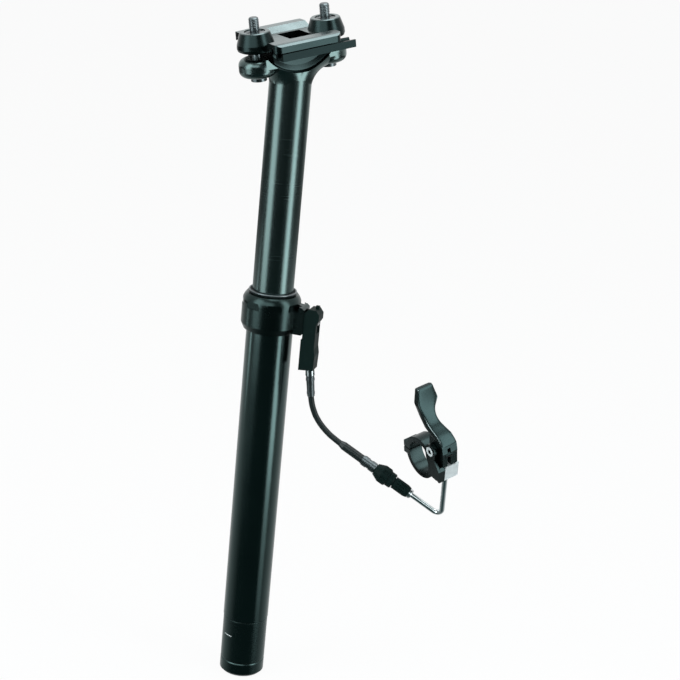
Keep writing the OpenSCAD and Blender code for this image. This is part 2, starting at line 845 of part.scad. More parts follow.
module bar_clamp() {
  color("#15191a")
    difference() {
      remote_slab([-bar_clamp_w / 2, bar_clamp_w / 2]) clamp_ring_outline(-1);
      bar_bore();
      at_clamp_bolts() translate([0, 0, -1]) cylinder(r = lug_bolt_r + 0.1, h = 16);
      at_clamp_bolts() translate([0, 0, -8]) cylinder(r = lug_head_r + 0.2, h = 8);
    }
}

module clamp_bolts() {
  color("#aeb4b6")
    at_clamp_bolts()
      difference() {
        union() {
          cylinder(r = lug_bolt_r, h = 2 * lug_half);
          translate([0, 0, -2.4]) cylinder(r = lug_head_r, h = 2.4);
        }
        translate([0, 0, -2.5]) cylinder(r = 1.3, h = 1.8, $fn = 6);
      }
}

module pivot_bolt() {
  near = -boss_a[0] - pivot_sink;
  far = lever_a[1] - 1;
  color("#c6cbcd")
    at_remote()
      translate([pivot_q.x, pivot_q.y, 0])
        difference() {
          union() {
            translate([0, 0, -far]) cylinder(r = pivot_r, h = far + near);
            translate([0, 0, near]) cylinder(r = pivot_head_r, h = 1.6);
          }
          translate([0, 0, near + 0.4]) cylinder(r = 1.8, h = 2, $fn = 6);
        }
}

// A round bar along the handlebar's direction, one station of the lever's sweep, set from the pivot
module lever_bar(q, a, r) {
  translate([pivot_q.x + q.x, pivot_q.y + q.y, -a[1]]) cylinder(r = r, h = a[1] - a[0], $fn = 28);
}

module thumb_lever() {
  fork_low_p = stop_top_p + 0.7;
  stations = [
    [[7.7, 1.8], lever_a, 1.8], [[6.1, 6.4], lever_a, 2], [[2.3, 10.2], [lever_a[0], 6.6], 2.2],
    [[-2.9, 12.4], [-4.8, 4.9], 2.4], [[-8.5, 14.8], [-5.1, 3.4], 2.5], [[-14.7, 20.4], [-5.4, 3.4], 2.5],
    [[-17.5, 28.2], [-7.4, 7.8], 2.3], [[-19.3, 36.3], [-6.3, 5.3], 2]
  ];
  color("#171b1c")
    difference() {
      union() {
        at_remote()
          for (i = [0 : len(stations) - 2])
            hull() {
              lever_bar(stations[i][0], stations[i][1], stations[i][2]);
              lever_bar(stations[i + 1][0], stations[i + 1][1], stations[i + 1][2]);
            }
        remote_slab(lever_a) {
          translate(pivot_q) circle(r = boss_r);
          polygon([
            pivot_q + [-4.6, -2], pivot_q + [2, -4.6], [wire_q - 2.6, fork_low_p + 2.7], [wire_q - 2.2, fork_low_p],
            [stop_q[1], fork_low_p], [wire_q + 1.7, pivot_q.y + 2.4], pivot_q + [5, 6.3], pivot_q + [-1.5, 9.7],
            pivot_q + [-6.1, 11.4]
          ]);
        }
      }
      at_remote() translate([pivot_q.x, pivot_q.y, 0]) cylinder(r = pivot_r + run, h = 60, center = true);
      remote_slab([wire_a - 1.3, wire_a + 1.3])
        translate([wire_q - 1.5, pivot_q.y - 9]) square([10, 14.5]);
      remote_slab([wire_a - 2.8, wire_a + 2.8]) translate([wire_q, pivot_q.y]) circle(r = nipple_r);
    }
}

module lever_nipple() {
  color("#d2d6d8")
    difference() {
      remote_slab([wire_a - 2.8, wire_a + 2.8]) translate([wire_q, pivot_q.y]) circle(r = nipple_r);
      at_wire() cylinder(r = 0.8, h = 16);
    }
}

module inner_post() {
  color("#14191b")
    difference() {
      union() {
        rod(post_r, post_bottom_z, neck_z + 6);
        head_flare();
        at_clamp() head_lobes();
      }
      rod(post_ri, post_bottom_z - 1, neck_z - 10);
      at_clamp() {
        rotate([90, 0, 0]) cylinder(r = seat_r, h = 80, center = true);
        at_bolts() translate([0, 0, lobe_base_w - 1]) cylinder(r = bolt_r + 0.2, h = 20);
        at_bolts() translate([0, 0, lobe_base_w - 8]) cylinder(r = head_r + 0.5, h = 8 + head_sink);
      }
      for (b = key_bearings)
        radial_block(b, post_r - 1, post_r + 2, key_w, post_bottom_z + 22, post_bottom_z + 22 + key_h);
    }
}

// The forged neck parts into two round arms that curve out to the lobes, with flat cheeks between them
module head_flare() {
  elbow_r = post_r + neck_fillet;
  arm_r = post_r - 0.2;
  cheek_half = post_r - 0.5;
  difference() {
    union() {
      for (side = [0, 180])
        rotate([0, 0, side])
          translate([elbow_r, 0, neck_z])
            rotate([90, 0, 0])
              rotate([0, 0, 110]) rotate_extrude(angle = 74) translate([elbow_r, 0]) circle(r = arm_r);
      translate([0, cheek_half, 0])
        rotate([90, 0, 0])
          linear_extrude(2 * cheek_half)
            translate([0, neck_z])
              difference() {
                translate([-elbow_r, 4]) square([2 * elbow_r, elbow_r - 4]);
                for (side = [-1, 1]) translate([side * elbow_r, 0]) circle(r = elbow_r);
              }
    }
    at_clamp() block(-90, 90, 40, lobe_top_w, 60);
  }
}

module head_lobes() {
  lobe_h = lobe_top_w - lobe_base_w;
  at_bolts() translate([0, 0, lobe_base_w]) round_disc(lobe_r, lobe_h, lobe_round);
  intersection() {
    block(-bolt_u, bolt_u, lobe_r, lobe_base_w, lobe_top_w);
    translate([0, 0, lobe_base_w + 15]) along_x(15.2, bolt_u + 1);
  }
}

// A disc whose two rims are rounded
module round_disc(r, h, round) {
  rotate_extrude() {
    square([r - round, h]);
    translate([0, round]) square([r, h - 2 * round]);
    for (z = [round, h - round])
      translate([r - round, z])
        intersection() {
          circle(r = round);
          translate([0, -round]) square([round, 2 * round]);
        }
  }
}

module lower_bushing() {
  color("#b48a3c")
    difference() {
      tube(post_r + 0.02, tube_ri - 0.04, post_bottom_z + 1, post_bottom_z + 18);
      radial_block(actuator_bearing, post_r - 1, tube_r, strip_slot_w + 2, post_bottom_z, post_bottom_z + 20);
    }
}

module guide_keys() {
  color("#c9a64a")
    for (b = key_bearings)
      radial_block(
        b, post_r - 1, tube_ri + key_depth - run, key_w, post_bottom_z + 22, post_bottom_z + 22 + key_h
      );
}

module post_foot() {
  color("#2b3133") {
    tube(rod_r + 0.6, post_r - 0.2, post_bottom_z - foot_h, post_bottom_z);
    tube(cylinder_r + 0.05, post_ri, post_bottom_z, post_bottom_z + 12);
  }
}

module cartridge_tube() {
  color("#8f9597")
    tube(cylinder_ri, cylinder_r, post_bottom_z + gland_flange_h, cylinder_top_z);
}

module cartridge_cap() {
  color("#33393b") {
    rod(cylinder_ri, cylinder_top_z - cap_plug_h, cylinder_top_z);
    rod(post_ri, cylinder_top_z, cylinder_top_z + 4);
  }
}

module rod_gland() {
  color("#33393b") {
    tube(rod_r + run, cylinder_r, post_bottom_z, post_bottom_z + gland_flange_h);
    tube(rod_r + run, cylinder_ri, post_bottom_z + gland_flange_h, post_bottom_z + gland_flange_h + gland_h);
  }
}

module saddle_bolts() {
  head_w = lobe_base_w + head_sink - 1;
  color("#3b4244")
    at_clamp()
      at_bolts()
        difference() {
          union() {
            rod(bolt_r, head_w, stud_top_w - 0.6);
            translate([0, 0, stud_top_w - 0.6]) cylinder(r1 = bolt_r, r2 = bolt_r - 0.6, h = 0.6);
            translate([0, 0, head_w - head_h]) cylinder(r = head_r, h = head_h);
          }
          translate([0, 0, head_w - head_h - 1]) cylinder(r = 2.9, h = 3.4, $fn = 6);
        }
}

module bolt_washers() {
  floor_w = lobe_base_w + head_sink;
  color("#8b9092") at_clamp() at_bolts() tube(bolt_r + 0.02, head_r + 0.3, floor_w - 1, floor_w - 0.02);
}

module lower_cradle() {
  color("#20272a")
    at_clamp()
      difference() {
        union() {
          intersection() {
            rotate([90, 0, 0]) cylinder(r = seat_r - 0.08, h = 2 * belly_half_w, center = true);
            block(-belly_half_len, belly_half_len, belly_half_w, -seat_r, cradle_top_w);
          }
          block(-13, 13, rail_y, cradle_top_w - 2.2, cradle_top_w);
          for (side = [-1, 1])
            translate([cradle_u, side * rail_y, 0])
              block(-cradle_len / 2, cradle_len / 2, bar_half_w, bar_base_w, rail_w - rail_gap / 2);
        }
        at_rails() along_x(rail_r, cradle_len);
        block(-12.5, 12.5, belly_half_w - 2.5, -seat_r + 4.5, cradle_top_w + 1);
      }
}

module upper_clamp() {
  color("#c3cacb")
    at_clamp()
      difference() {
        union() {
          block(-bolt_u, bolt_u, 9, ear_base_w, plate_top_w);
          clamp_plate();
          at_bolts() clamp_ear();
        }
        at_rails() along_x(rail_r, 2 * clamp_len);
        block(
          window_u - window_len / 2, window_u + window_len / 2, window_w / 2, ear_base_w - 1, plate_top_w + 1
        );
        block(-bolt_u + 10, bolt_u - 10, 20, ear_base_w - 1, plate_top_w - plate_t);
        at_bolts() {
          sphere(r = nut_r + slip);
          rod(bolt_r + 1.7, ear_base_w - 1, 0);
          rod(nut_r + slip, 0, 5);
        }
      }
}

// The plate: low round the window, rising to a wing with a flat side over each rail
module clamp_plate() {
  wing_y = rail_y + wing_out;
  low_w = rail_w + rail_gap / 2;
  foot_w = plate_top_w - plate_t;
  intersection() {
    translate([clamp_u + clamp_len / 2, 0, 0])
      rotate([90, 0, -90])
        linear_extrude(clamp_len)
          for (side = [-1, 1])
            scale([side, 1])
              polygon([
                [0, foot_w], [rail_y - wing_out, foot_w], [rail_y - wing_out, low_w], [wing_y, low_w],
                [wing_y, wing_top_w - 1.6], [wing_y - 1.2, wing_top_w - 0.4], [wing_y - 3, wing_top_w],
                [rail_y - rail_r, wing_top_w], [rail_y - wing_out - 3, plate_top_w], [0, plate_top_w]
              ]);
    translate([clamp_u, 0, ear_base_w])
      linear_extrude(20)
        for (turn = [0, 180])
          rotate(turn) {
            translate([-clamp_len / 2, 0]) square([clamp_len, wing_y - wing_corner]);
            translate([-clamp_len / 2 + wing_corner, 0]) square([clamp_len - 2 * wing_corner, wing_y]);
            for (x = [-1, 1])
              translate([x * (clamp_len / 2 - wing_corner), wing_y - wing_corner]) circle(r = wing_corner);
          }
  }
}

// A boss for the nut, narrow at its rim and full below
module clamp_ear() {
  rotate_extrude()
    polygon([
      [0, ear_base_w], [ear_r - 2.2, ear_base_w], [ear_r - 0.6, ear_base_w + 0.8], [ear_r, ear_base_w + 2.4],
      [ear_r - 0.2, ear_base_w + 5], [ear_rim_r, ear_rim_w - 0.5], [ear_rim_r - 0.5, ear_rim_w], [0, ear_rim_w]
    ]);
}

// A round nut with a ball seat and a drive slot
module saddle_nut(side) {
  color("#6d7476")
    at_clamp()
      translate([side * bolt_u, 0, 0])
        difference() {
          intersection() {
            sphere(r = nut_r);
            rod(nut_r, -5.6, -2);
          }
          rod(bolt_r + run, -8, 1);
          block(-nut_r, nut_r, 0.9, -3, 0);
        }
}

module front_nut() {
  saddle_nut(-1);
}

module rear_nut() {
  saddle_nut(1);
}

outer_tube();
bottom_cap();
bottom_plug();
piston_rod();
rod_nut();
piston();
collar();
wiper_seal();
upper_bushing();
collar_oring();
actuator_housing();
actuator_cover();
cover_screws();
crank_pin();
rocker_pin();
ferrule_ring();
cable_ferrule();
cable_housing();
housing_sleeve();
sleeve_ferrule();
coupler_body();
guide_pipe();
cable_stop();
remote_body();
bar_clamp();
clamp_bolts();
pivot_bolt();
inner_post();
lower_bushing();
guide_keys();
post_foot();
cartridge_tube();
cartridge_cap();
rod_gland();
saddle_bolts();
bolt_washers();
lower_cradle();
upper_clamp();
front_nut();
rear_nut();
bell_crank();
crank_nipple();
release_strip();
valve_rocker();
valve_pin();
adjuster_barrel();
thumb_lever();
lever_nipple();
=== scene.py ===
"""A dropper seatpost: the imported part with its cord, threads, trim, lever skin and finishes.

A white floor, soft studio light and a camera at the photograph's viewing angle are set round it.
"""

import json
import math

import bmesh
import bpy
from mathutils import Matrix, Vector


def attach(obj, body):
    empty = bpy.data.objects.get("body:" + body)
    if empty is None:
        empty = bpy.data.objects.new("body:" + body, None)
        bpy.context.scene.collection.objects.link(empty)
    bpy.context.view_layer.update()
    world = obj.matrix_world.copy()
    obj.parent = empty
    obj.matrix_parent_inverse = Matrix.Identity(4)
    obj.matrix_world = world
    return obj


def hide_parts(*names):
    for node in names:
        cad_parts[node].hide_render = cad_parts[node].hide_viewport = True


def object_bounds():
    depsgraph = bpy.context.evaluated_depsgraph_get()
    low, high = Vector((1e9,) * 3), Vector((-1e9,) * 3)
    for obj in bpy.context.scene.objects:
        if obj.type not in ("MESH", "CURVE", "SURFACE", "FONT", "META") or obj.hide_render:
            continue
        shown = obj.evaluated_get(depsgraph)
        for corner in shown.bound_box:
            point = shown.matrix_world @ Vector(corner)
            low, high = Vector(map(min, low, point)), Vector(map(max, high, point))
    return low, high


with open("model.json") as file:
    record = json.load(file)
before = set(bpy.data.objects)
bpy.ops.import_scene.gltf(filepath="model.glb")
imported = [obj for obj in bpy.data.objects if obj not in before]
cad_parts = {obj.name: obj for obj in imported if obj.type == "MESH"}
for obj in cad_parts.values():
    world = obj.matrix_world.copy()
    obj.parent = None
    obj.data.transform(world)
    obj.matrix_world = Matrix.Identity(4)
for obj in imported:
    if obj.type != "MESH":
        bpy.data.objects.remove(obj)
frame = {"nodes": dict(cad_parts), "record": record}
cad_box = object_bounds()
nodes = frame["nodes"]
scene = bpy.context.scene


def level_way(heading):
    """The level way at a heading, which is 0 along y and turns towards x."""
    return Vector((math.sin(heading), math.cos(heading), 0))


# Camera, with its place in metres
CAMERA_PLACE = Vector((-0.54307, -0.94063, 0.40407))
CAMERA_HEADING = math.radians(32.480)
CAMERA_DROP = math.radians(17.702)
CAMERA_ROLL = math.radians(5.559)
CAMERA_LENS = 91.145
CAMERA_SENSOR = 36


def make_camera():
    """The camera, turned by its heading, its drop below level and its roll."""
    ahead = level_way(CAMERA_HEADING) * math.cos(CAMERA_DROP) - Vector((0, 0, math.sin(CAMERA_DROP)))
    level_right = level_way(CAMERA_HEADING + math.pi / 2)
    level_up = level_right.cross(ahead)
    right = level_right * math.cos(CAMERA_ROLL) + level_up * math.sin(CAMERA_ROLL)
    up = level_up * math.cos(CAMERA_ROLL) - level_right * math.sin(CAMERA_ROLL)
    data = bpy.data.cameras.new("camera")
    data.lens = CAMERA_LENS
    data.sensor_width = CAMERA_SENSOR
    camera = bpy.data.objects.new("camera", data)
    turn = Matrix((right, up, -ahead)).transposed().to_4x4()
    camera.matrix_world = Matrix.Translation(CAMERA_PLACE) @ turn
    scene.collection.objects.link(camera)
    scene.camera = camera


make_camera()

# Pieces are modelled in millimetres, points that lie closer than the weld are made one,
# and the piece is brought into the part's own frame, which is in metres
MM = 0.001
WELD = 0.0005
to_metres = Matrix.Scale(MM, 4)


def finish_piece(name, form, body, to_world):
    """Turns a bmesh in millimetres into a piece in the part's own frame that rides on a body."""
    bmesh.ops.remove_doubles(form, verts=form.verts, dist=WELD)
    bmesh.ops.recalc_face_normals(form, faces=form.faces)
    bmesh.ops.transform(form, matrix=to_world, verts=form.verts)
    mesh = bpy.data.meshes.new(name)
    form.to_mesh(mesh)
    form.free()
    piece = bpy.data.objects.new(name, mesh)
    scene.collection.objects.link(piece)
    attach(piece, body)
    return piece


def closed_loop(form, points):
    """Adds a closed loop to a bmesh. Gives its vertices and its edges."""
    verts = [form.verts.new(point) for point in points]
    return verts, [form.edges.new((verts[i - 1], verts[i])) for i in range(len(verts))]


def open_edges(form):
    """The edges round a form's holes."""
    return [edge for edge in form.edges if edge.is_boundary]


# Cord, in the upright plane of the actuator: out from the post's axis, and up
ACTUATOR_BEARING = math.radians(-47)
CABLE_D = 4
FERRULE_END = (32.45, 19.66)
SLEEVE_END = (55.6, -9.64)
FERRULE_WAY = (0.132, -0.991)
SLEEVE_WAY = (0.891, -0.454)
CORD_POINTS = [
    (33, 16.8), (33.7, 14), (34.6, 11.4), (35.7, 8.9), (36.9, 6.5), (38.4, 4.3), (40, 2.2), (41.8, 0.2),
    (43.8, -1.7), (45.9, -3.5), (48.1, -5.2), (50.5, -6.7), (53, -8.2),
]


def actuator_point(out, z):
    """A point in the actuator's plane, on the part's own axes."""
    return Vector((out * math.cos(ACTUATOR_BEARING), out * math.sin(ACTUATOR_BEARING), z))


def cord_tube(route):
    """A round tube on one smooth curve through the route's points, with handles a third of each gap long."""
    curve = bpy.data.curves.new("cable_route", "CURVE")
    curve.dimensions = "3D"
    curve.bevel_depth = CABLE_D / 2
    curve.bevel_resolution = 6
    curve.resolution_u = 8
    curve.use_fill_caps = True
    spline = curve.splines.new("BEZIER")
    last = len(route) - 1
    end_ways = {0: actuator_point(*FERRULE_WAY), last: actuator_point(*SLEEVE_WAY)}
    spline.bezier_points.add(last)
    for i, point in enumerate(spline.bezier_points):
        before, after = route[max(i - 1, 0)], route[min(i + 1, last)]
        way = end_ways.get(i, after - before).normalized()
        point.co = route[i]
        point.handle_left = route[i] - way * ((route[i] - before).length / 3)
        point.handle_right = route[i] + way * ((after - route[i]).length / 3)
    tube = bpy.data.objects.new("cable_route", curve)
    scene.collection.objects.link(tube)
    drawn = tube.evaluated_get(bpy.context.evaluated_depsgraph_get())
    form = bmesh.new()
    form.from_mesh(drawn.to_mesh())
    drawn.to_mesh_clear()
    bpy.data.objects.remove(tube)
    return form


def make_cord():
    """The cable housing, from the ferrule to the sleeve."""
    route = [actuator_point(*p) for p in [FERRULE_END, *CORD_POINTS, SLEEVE_END]]
    cord = finish_piece("cable_jacket", cord_tube(route), "outer", to_metres)
    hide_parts("cable_housing")
    return cord


cord = make_cord()

# Head frame: the middle of the saddle clamp, pitched nose up
HEAD_PLACE = Vector((-4, 0, 263))
HEAD_PITCH = math.radians(11)
head_to_world = to_metres @ Matrix.Translation(HEAD_PLACE) @ Matrix.Rotation(-HEAD_PITCH, 4, "Y")

# Saddle studs' threads: the ridge is given as its rise from the stud and its height in pitches
STUD_OUT = 25.3
STUD_R = 3.0
THREAD_PITCH = 1.0
THREAD_FROM, THREAD_TO = 0.6, 6.4
THREAD_RIDGE = [(-0.1, -0.42), (0.28, 0), (-0.1, 0.42)]
STEPS_A_TURN = 28


def make_stud_thread(name, out):
    """The thread on the part of a saddle stud that stands above its nut: a ridge spun up a helix."""
    form = bmesh.new()
    ridge = [(STUD_R + rise, 0, THREAD_FROM + height * THREAD_PITCH) for rise, height in THREAD_RIDGE]
    verts, edges = closed_loop(form, ridge)
    turns = (THREAD_TO - THREAD_FROM) / THREAD_PITCH
    steps = round(turns * STEPS_A_TURN)
    bmesh.ops.spin(
        form,
        geom=verts + edges,
        axis=(0, 0, 1),
        dvec=(0, 0, THREAD_PITCH * turns / steps),
        angle=2 * math.pi * turns,
        steps=steps,
    )
    bmesh.ops.holes_fill(form, edges=open_edges(form), sides=len(ridge))
    return finish_piece(name, form, "post", head_to_world @ Matrix.Translation((out, 0, 0)))


stud_threads = [
    make_stud_thread("front_stud_thread", -STUD_OUT),
    make_stud_thread("rear_stud_thread", STUD_OUT),
]

# Cradle's cheeks: half the belly's width and length, how far they reach round its lower edge,
# and their profile as radius and height above the belly's flat side
BELLY_HALF_W, BELLY_HALF_LEN = 9.4, 19.3
CHEEK_REACH = math.radians(52)
CHEEK_PROFILE = [
    (29.3, -0.4), (29.3, 1.3), (28.7, 1.7), (28.0, 1.5),
    (25.5, 0.6), (22.5, 0.15), (20.0, 0.05), (20.0, -0.4),
]


def make_cradle_cheek(name, side):
    """A dished cheek on one flat side of the cradle's belly: its profile spun round the tilt axis."""
    form = bmesh.new()
    start = Matrix.Rotation(-CHEEK_REACH, 4, "Y")
    profile = [start @ Vector((0, side * (BELLY_HALF_W + out), -r)) for r, out in CHEEK_PROFILE]
    verts, edges = closed_loop(form, profile)
    bmesh.ops.spin(form, geom=verts + edges, axis=(0, 1, 0), angle=2 * CHEEK_REACH, steps=40)
    for end in (-1, 1):
        bmesh.ops.bisect_plane(
            form,
            geom=[*form.verts, *form.edges, *form.faces],
            plane_co=(end * BELLY_HALF_LEN, 0, 0),
            plane_no=(end, 0, 0),
            clear_outer=True,
        )
    bmesh.ops.holes_fill(form, edges=open_edges(form))
    return finish_piece(name, form, "rail_clamp", head_to_world)


cradle_cheeks = [make_cradle_cheek("left_cradle_cheek", -1), make_cradle_cheek("right_cradle_cheek", 1)]

# Wiper's bead, on the post's axis: radius and height of its middle, and half its thickness
WIPER_BEAD_R = 15.35
WIPER_BEAD_Z = 87.7
WIPER_BEAD_HALF = 0.55


def make_wiper_bead():
    """The scraper ring on the wiper's lip: a small circle spun round the post."""
    form = bmesh.new()
    upright = Matrix.Translation((WIPER_BEAD_R, 0, WIPER_BEAD_Z)) @ Matrix.Rotation(math.pi / 2, 4, "X")
    ring = bmesh.ops.create_circle(form, segments=14, radius=WIPER_BEAD_HALF, matrix=upright)
    bmesh.ops.spin(
        form,
        geom=[*ring["verts"], *form.edges],
        axis=(0, 0, 1),
        angle=2 * math.pi,
        steps=120,
        use_merge=True,
    )
    bead = finish_piece("wiper_bead", form, "outer", to_metres)
    bead.data.shade_smooth()
    return bead


wiper_bead = make_wiper_bead()

# Coupler's mouth, in the actuator's plane: where the guide pipe enters it, the pipe's dip below level,
# and the profile of the ring there as radius and distance along the pipe
PIPE_END = (105.5, -35.06)
PIPE_DROP = math.radians(27)
PIPE_RING = [(1.75, -0.4), (3.3, -0.4), (3.3, 1.5), (2.6, 2.4), (1.75, 2.4)]


def make_pipe_ring():
    """The bright ring at the coupler's mouth: its profile spun round the pipe."""
    form = bmesh.new()
    verts, edges = closed_loop(form, [(r, 0, along) for r, along in PIPE_RING])
    bmesh.ops.spin(form, geom=verts + edges, axis=(0, 0, 1), angle=2 * math.pi, steps=48, use_merge=True)
    pipe_to_world = (
        to_metres
        @ Matrix.Rotation(ACTUATOR_BEARING, 4, "Z")
        @ Matrix.Translation((PIPE_END[0], 0, PIPE_END[1]))
        @ Matrix.Rotation(math.pi / 2 + PIPE_DROP, 4, "Y")
    )
    return finish_piece("pipe_ring", form, "outer", pipe_to_world)


pipe_ring = make_pipe_ring()

# Remote frame: origin on the handlebar's axis, x outwards, y along the cable, z along the bar
BAR_PLACE = Vector((114.92, -4.37, -4.42))
BAR_YAW, BAR_RISE, BAR_ROLL = math.radians(-40), math.radians(15), math.radians(16)
remote_to_world = (
    to_metres
    @ Matrix.Rotation(ACTUATOR_BEARING, 4, "Z")
    @ Matrix.Translation(BAR_PLACE)
    @ Matrix.Rotation(BAR_YAW, 4, "Z")
    @ Matrix.Rotation(BAR_RISE, 4, "X")
    @ Matrix.Rotation(BAR_ROLL, 4, "Y")
    @ Matrix.Rotation(math.pi / 2, 4, "X")
)

# Lever's sweep: place from the pivot, span along the bar, half thickness, and skin over the solid
PIVOT = Vector((12.5, 16.2))
SKIN = 0.35
LEVER_EDGE = 0.9
LEVER_STATIONS = [
    ((6.6, 5.6), (-4.1, 7.5), 1.95, 0.05),
    ((5.6, 7.4), (-4.1, 7.4), 2.05, SKIN),
    ((2.3, 10.2), (-4.1, 6.6), 2.2, SKIN),
    ((-2.9, 12.4), (-4.8, 4.9), 2.4, SKIN),
    ((-8.5, 14.8), (-5.1, 3.4), 2.5, SKIN),
    ((-14.7, 20.4), (-5.4, 3.4), 2.5, SKIN),
    ((-17.5, 28.2), (-7.4, 7.8), 2.3, SKIN),
    ((-19.3, 36.3), (-6.3, 5.3), 2.0, SKIN),
    ((-19.8, 38.3), (-6.1, 5.1), 1.9, SKIN),
]


def make_lever_skin():
    """The thumb lever's smooth moulded surface: a section swept through the stations, its edges rounded."""
    form = bmesh.new()
    places = [Vector(station[0]) for station in LEVER_STATIONS]
    last = len(places) - 1
    rims = []
    for i, (_, span, half, skin) in enumerate(LEVER_STATIONS):
        way = (places[min(i + 1, last)] - places[max(i - 1, 0)]).normalized()
        across = Vector((-way.y, way.x)) * (half + skin)
        low, high = span[0] - skin, span[1] + skin
        section = [
            (*(PIVOT + places[i] + across * side), -along)
            for side, along in ((-1, low), (1, low), (1, high), (-1, high))
        ]
        _, rim = closed_loop(form, section)
        rims.append(rim)
    for lower, upper in zip(rims, rims[1:]):
        bmesh.ops.bridge_loops(form, edges=lower + upper)
    bmesh.ops.holes_fill(form, edges=rims[0] + rims[-1], sides=4)
    inner_rims = {edge for rim in rims[1:-1] for edge in rim}
    bmesh.ops.bevel(
        form,
        geom=[edge for edge in form.edges if edge not in inner_rims],
        offset=LEVER_EDGE,
        affect="EDGES",
        segments=2,
        profile=0.5,
        material=-1,
        clamp_overlap=True,
    )
    skin = finish_piece("lever_skin", form, "lever", remote_to_world)
    skin.data.shade_smooth()
    smoothing = skin.modifiers.new("smooth_sweep", "SUBSURF")
    smoothing.levels = smoothing.render_levels = 2
    return skin


lever_skin = make_lever_skin()


class Value:
    """A socket that Python's arithmetic can use: each operator adds a Math node."""

    def __init__(self, maker, socket):
        self.maker = maker
        self.socket = socket

    def _math(self, operation, *values):
        return self.maker.node("ShaderNodeMath", {"operation": operation}, dict(enumerate(values)))

    def __add__(self, other):
        return self._math("ADD", self, other)

    def __radd__(self, other):
        return self._math("ADD", other, self)

    def __sub__(self, other):
        return self._math("SUBTRACT", self, other)

    def __rsub__(self, other):
        return self._math("SUBTRACT", other, self)

    def __mul__(self, other):
        return self._math("MULTIPLY", self, other)

    def __rmul__(self, other):
        return self._math("MULTIPLY", other, self)

    def __gt__(self, other):
        return self._math("GREATER_THAN", self, other)

    def __lt__(self, other):
        return self._math("LESS_THAN", self, other)

    def __abs__(self):
        return self._math("ABSOLUTE", self)

    def fraction(self):
        return self._math("FRACT", self)


class NodeMaker:
    """Adds nodes to one node tree."""

    def __init__(self, tree):
        self.tree = tree

    def node(self, kind, settings=None, inputs=None, output=0):
        """Adds a node, sets it up, and sets or links its inputs. Gives the output that is asked for."""
        node = self.tree.nodes.new(kind)
        for key, value in (settings or {}).items():
            if key == "stops":
                for stop, (position, shade) in zip(node.color_ramp.elements, value):
                    stop.position = position
                    stop.color = (shade, shade, shade, 1)
            else:
                setattr(node, key, value)
        for key, value in (inputs or {}).items():
            if isinstance(value, Value):
                self.tree.links.new(value.socket, node.inputs[key])
            else:
                node.inputs[key].default_value = value
        return Value(self, node.outputs[output])

    def coordinate(self, name):
        """A point's place, or the way its surface faces, by the name of the output."""
        return self.node("ShaderNodeTexCoord", output=name)

    def along(self, vector, way):
        """How far a vector reaches along a way."""
        return self.node(
            "ShaderNodeVectorMath", {"operation": "DOT_PRODUCT"}, {0: vector, 1: way}, output="Value"
        )


class Finish(NodeMaker):
    """One material and the nodes that make its colour, roughness and fine relief."""

    def __init__(self, name, base, roughness, metallic=0.0, **shader_values):
        self.material = bpy.data.materials.new(name)
        self.material.use_nodes = True
        self.material.diffuse_color = (*base, 1)
        super().__init__(self.material.node_tree)
        self.shader = self.tree.nodes["Principled BSDF"]
        self.shader.inputs["Base Color"].default_value = (*base, 1)
        self.shader.inputs["Roughness"].default_value = roughness
        self.shader.inputs["Metallic"].default_value = metallic
        for socket, value in shader_values.items():
            self.shader.inputs[socket.replace("_", " ")].default_value = value
        self.place = self.coordinate("Object")

    def noise(self, scale, detail, roughness=0.6, stretch=(1, 1, 1)):
        """Noise with about scale features a metre, times the stretch along each axis."""
        place = self.node("ShaderNodeMapping", inputs={"Vector": self.place, "Scale": stretch})
        return self.node(
            "ShaderNodeTexNoise",
            inputs={"Vector": place, "Scale": scale, "Detail": detail, "Roughness": roughness},
        )

    def ramp(self, value, low, high):
        """Spreads the part of a value between low and high over the range from 0 to 1."""
        return self.node("ShaderNodeValToRGB", {"stops": [(low, 0), (high, 1)]}, {"Fac": value})

    def axis(self, name):
        """A point's place along one of the part's axes."""
        return self.node("ShaderNodeSeparateXYZ", inputs={"Vector": self.place}, output=name)

    def facing(self, way):
        """How far the surface faces along a way that rides with the piece: 1 is straight along it."""
        return self.along(self.coordinate("Normal"), way)

    def blend(self, mask, first, second):
        """Mixes two colours. Each is a colour or an earlier mix."""
        pair = [c if isinstance(c, Value) else (*c, 1) for c in (first, second)]
        return self.node("ShaderNodeMix", {"data_type": "RGBA"}, {0: mask, 6: pair[0], 7: pair[1]}, output=2)

    def set(self, socket, value):
        """Links a value to one of the shader's sockets."""
        self.tree.links.new(value.socket, self.shader.inputs[socket])

    def colour_so_far(self):
        """The colour that feeds the shader now, to be mixed further."""
        return Value(self, self.shader.inputs["Base Color"].links[0].from_socket)

    def relief(self, height, depth, strength):
        """Raises the surface by a height from 0 to 1, with the depth in millimetres."""
        inputs = {"Height": height, "Distance": depth * MM, "Strength": strength}
        self.set("Normal", self.node("ShaderNodeBump", inputs=inputs, output="Normal"))


def tinted(base, factor):
    """A colour made darker or paler."""
    return tuple(min(1.0, c * factor) for c in base)


def own_z(to_world):
    """The way that a frame's z axis points on the part's own axes."""
    return to_world.to_3x3().normalized().col[2]


def satin_coating(name, base, roughness):
    """Black coating on alloy: fine orange peel, faint clouds and rubbed spots."""
    finish = Finish(name, base, roughness, metallic=1.0)
    cloud = finish.noise(24, detail=3)
    peel = finish.noise(900, detail=2)
    rubbed = finish.ramp(finish.noise(70, detail=8, roughness=0.72), 0.66, 0.8)
    shade = finish.blend(cloud, tinted(base, 0.85), tinted(base, 1.2))
    finish.set("Base Color", finish.blend(rubbed * 0.3, shade, tinted(base, 1.8)))
    finish.set("Roughness", cloud * 0.06 + peel * 0.06 + rubbed * 0.08 + (roughness - 0.06))
    finish.relief(peel, depth=0.04, strength=0.3)
    return finish


